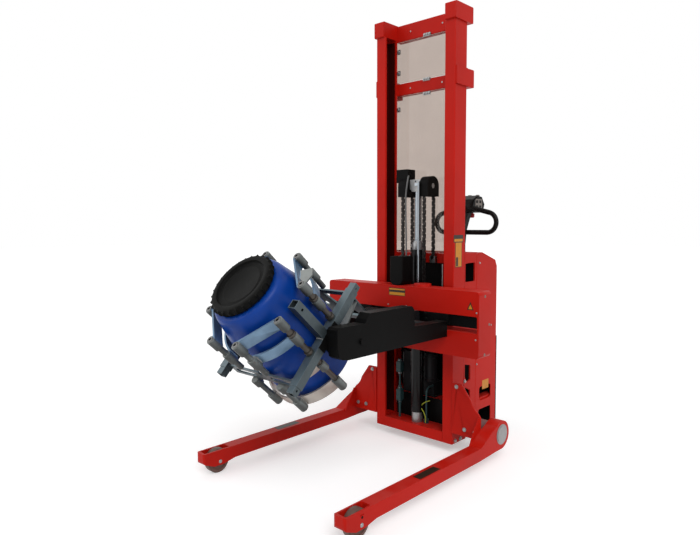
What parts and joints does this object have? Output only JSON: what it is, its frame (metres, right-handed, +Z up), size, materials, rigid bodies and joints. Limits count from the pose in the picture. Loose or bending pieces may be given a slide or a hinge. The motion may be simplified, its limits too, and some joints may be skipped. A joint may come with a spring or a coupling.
{
  "type": "drum tipper",
  "caption": "Walk-behind drum tipper: red mast stacker on straddle legs, whose carriage arms carry a tilting clamp of hinged jaws round a blue lidded drum.",
  "frame": {"origin": "on the floor under the centre of the machine's bounding box", "axes": "+Z up; -Y is the front, toward the legs' tips and the drum; +X is the right-hand side seen from the front"},
  "size_m": [0.988, 1.8924, 2.297],
  "materials": {
    "red_paint": "satin",
    "black_paint": "satin",
    "grey_paint": "satin",
    "tinted_sheet": "clear, slightly tinted",
    "bright_steel": "bright",
    "chromed": "polished",
    "oiled_chain": "oiled",
    "sheave_steel": "turned",
    "zinc_plate": "zinc plated",
    "drum_blue": "blow-moulded",
    "lid_black": "moulded",
    "black_plastic": "fine texture",
    "grey_plastic": "smooth",
    "red_plastic": "smooth",
    "roller_nylon": "smooth",
    "wheel_tread": "smooth"
  },
  "bodies": {
    "chassis": {"base_frame": "red_paint", "mast_post_left": "red_paint", "mast_post_right": "red_paint", "mast_cap_blocks": "red_paint", "mast_cross_beams": "red_paint", "mast_screen": "tinted_sheet", "wing_plate_left": "red_paint", "wing_plate_right": "red_paint", "leg_left": "red_paint", "leg_right": "red_paint", "cross_tube": "bright_steel", "chassis_bolts": "bright_steel", "body_housing": "red_paint", "rear_cover": "black_paint", "battery_box": "black_plastic", "pump_unit": "black_paint", "hydraulic_lines": "zinc_plate", "lift_barrel": "black_paint", "lift_gland": "bright_steel", "chain_anchors": "bright_steel", "rear_chain": "oiled_chain"},
    "crosshead": {"lift_rod": "chromed", "crosshead": "bright_steel", "sheave_covers": "black_paint", "chain_wraps": "oiled_chain"},
    "sheaves": {"sheaves": "sheave_steel"},
    "carriage": {"carriage_frame": "red_paint", "carriage_cheeks": "red_paint", "carriage_housing": "black_paint", "slot_crossbar": "black_paint", "arm_left": "black_paint", "arm_right": "black_paint", "tilt_drive": "black_paint", "front_chain": "oiled_chain"},
    "guide_rollers_low": {"guide_rollers_low": "bright_steel"},
    "guide_rollers_high": {"guide_rollers_high": "bright_steel"},
    "clamp": {"cage_tubes": "grey_paint", "clamp_rods": "bright_steel", "pivot_hubs": "black_paint", "front_slot_plate": "grey_paint", "rear_plate": "grey_paint", "lower_ring": "zinc_plate"},
    "front_jaw_left": {"front_jaw_left": "zinc_plate"},
    "front_jaw_right": {"front_jaw_right": "zinc_plate"},
    "rear_jaw_left": {"rear_jaw_left": "zinc_plate"},
    "rear_jaw_right": {"rear_jaw_right": "zinc_plate"},
    "drum": {"drum_body": "drum_blue"},
    "lid": {"drum_lid": "lid_black"},
    "front_roller_left": {"front_roller_left": "roller_nylon"},
    "front_roller_right": {"front_roller_right": "roller_nylon"},
    "steer": {"steer_unit": "black_paint"},
    "drive_wheel": {"drive_wheel": "wheel_tread"},
    "castor_left": {"castor_fork_left": "bright_steel"},
    "castor_right": {"castor_fork_right": "bright_steel"},
    "castor_wheel_left": {"castor_wheel_left": "wheel_tread"},
    "castor_wheel_right": {"castor_wheel_right": "wheel_tread"},
    "tiller": {"tiller_arm": "black_paint", "tiller_head": "black_plastic"},
    "belly_button": {"belly_button": "red_plastic"},
    "thumb_rockers": {"thumb_rockers": "grey_plastic"}
  },
  "joints": [
    {"name": "lift", "type": "slide", "parent": "chassis", "child": "carriage", "axis": [0, 0, 1], "range_m": [-0.28, 1.2], "deforming": ["front_chain"]},
    {"name": "crosshead_rise", "type": "slide", "parent": "chassis", "child": "crosshead", "axis": [0, 0, 1], "range_m": [-0.14, 0.6], "deforming": ["rear_chain"]},
    {"name": "sheave_spin", "type": "hinge", "parent": "crosshead", "child": "sheaves", "pos_m": [-0.008, 0.35378, 1.398], "axis": [1, 0, 0], "continuous": true},
    {"name": "guide_low_spin", "type": "hinge", "parent": "carriage", "child": "guide_rollers_low", "pos_m": [0, 0.35328, 0.612], "axis": [1, 0, 0], "continuous": true},
    {"name": "guide_high_spin", "type": "hinge", "parent": "carriage", "child": "guide_rollers_high", "pos_m": [0, 0.35328, 0.78], "axis": [1, 0, 0], "continuous": true},
    {"name": "tilt", "type": "hinge", "parent": "carriage", "child": "clamp", "pos_m": [0, -0.56018, 0.71526], "axis": [1, 0, 0], "range_deg": [-47.5, 87.5]},
    {"name": "front_jaw_right_swing", "type": "hinge", "parent": "clamp", "child": "front_jaw_right", "pos_m": [0.22531, -0.65872, 0.66989], "axis": [0, -0.7373, 0.6756], "range_deg": [0, 35]},
    {"name": "front_jaw_left_swing", "type": "hinge", "parent": "clamp", "child": "front_jaw_left", "pos_m": [-0.22531, -0.65872, 0.66989], "axis": [0, 0.7373, -0.6756], "range_deg": [0, 35]},
    {"name": "rear_jaw_right_swing", "type": "hinge", "parent": "clamp", "child": "rear_jaw_right", "pos_m": [0.22834, -0.54108, 0.79828], "axis": [0, 0.7373, -0.6756], "range_deg": [0, 35]},
    {"name": "rear_jaw_left_swing", "type": "hinge", "parent": "clamp", "child": "rear_jaw_left", "pos_m": [-0.22834, -0.54108, 0.79828], "axis": [0, -0.7373, 0.6756], "range_deg": [0, 35]},
    {"name": "drum_slide", "type": "slide", "parent": "clamp", "child": "drum", "axis": [0, -0.7373, 0.6756], "range_m": [0, 0.55]},
    {"name": "lid_turn", "type": "hinge", "parent": "drum", "child": "lid", "pos_m": [0, -0.83315, 0.95319], "axis": [0, -0.7373, 0.6756], "continuous": true},
    {"name": "front_roller_left_spin", "type": "hinge", "parent": "chassis", "child": "front_roller_left", "pos_m": [-0.458, -0.66022, 0.058], "axis": [1, 0, 0], "continuous": true},
    {"name": "front_roller_right_spin", "type": "hinge", "parent": "chassis", "child": "front_roller_right", "pos_m": [0.458, -0.66022, 0.058], "axis": [1, 0, 0], "continuous": true},
    {"name": "steer_turn", "type": "hinge", "parent": "chassis", "child": "steer", "pos_m": [0, 0.82978, 0], "axis": [0, 0, 1], "range_deg": [-90, 90]},
    {"name": "drive_spin", "type": "hinge", "parent": "steer", "child": "drive_wheel", "pos_m": [0, 0.82978, 0.105], "axis": [1, 0, 0], "continuous": true},
    {"name": "castor_left_swivel", "type": "hinge", "parent": "chassis", "child": "castor_left", "pos_m": [-0.14, 0.62977, 0], "axis": [0, 0, 1], "continuous": true},
    {"name": "castor_right_swivel", "type": "hinge", "parent": "chassis", "child": "castor_right", "pos_m": [0.14, 0.62977, 0], "axis": [0, 0, 1], "continuous": true},
    {"name": "castor_left_spin", "type": "hinge", "parent": "castor_left", "child": "castor_wheel_left", "pos_m": [-0.14, 0.65177, 0.088], "axis": [1, 0, 0], "continuous": true},
    {"name": "castor_right_spin", "type": "hinge", "parent": "castor_right", "child": "castor_wheel_right", "pos_m": [0.14, 0.65177, 0.088], "axis": [1, 0, 0], "continuous": true},
    {"name": "tiller_tilt", "type": "hinge", "parent": "steer", "child": "tiller", "pos_m": [0, 0.77377, 0.78], "axis": [-1, 0, 0], "range_deg": [0, 75]},
    {"name": "belly_press", "type": "slide", "parent": "tiller", "child": "belly_button", "axis": [0, 0, 1], "range_m": [0, 0.004], "stiffness_N_per_m": 600},
    {"name": "rocker_turn", "type": "hinge", "parent": "tiller", "child": "thumb_rockers", "pos_m": [0, 0.89977, 1.35], "axis": [1, 0, 0], "range_deg": [-20, 20], "stiffness_Nm_per_rad": 0.6}
  ],
  "couplings": [
    {"joint": "crosshead_rise", "follows": "lift", "ratio": 0.5},
    {"joint": "sheave_spin", "follows": "lift", "rad_per_m": -11.905},
    {"joint": "guide_low_spin", "follows": "lift", "rad_per_m": -25},
    {"joint": "guide_high_spin", "follows": "lift", "rad_per_m": 25},
    {"joint": "front_jaw_left_swing", "follows": "front_jaw_right_swing", "ratio": 1},
    {"joint": "rear_jaw_right_swing", "follows": "front_jaw_right_swing", "ratio": 1},
    {"joint": "rear_jaw_left_swing", "follows": "front_jaw_right_swing", "ratio": 1}
  ]
}
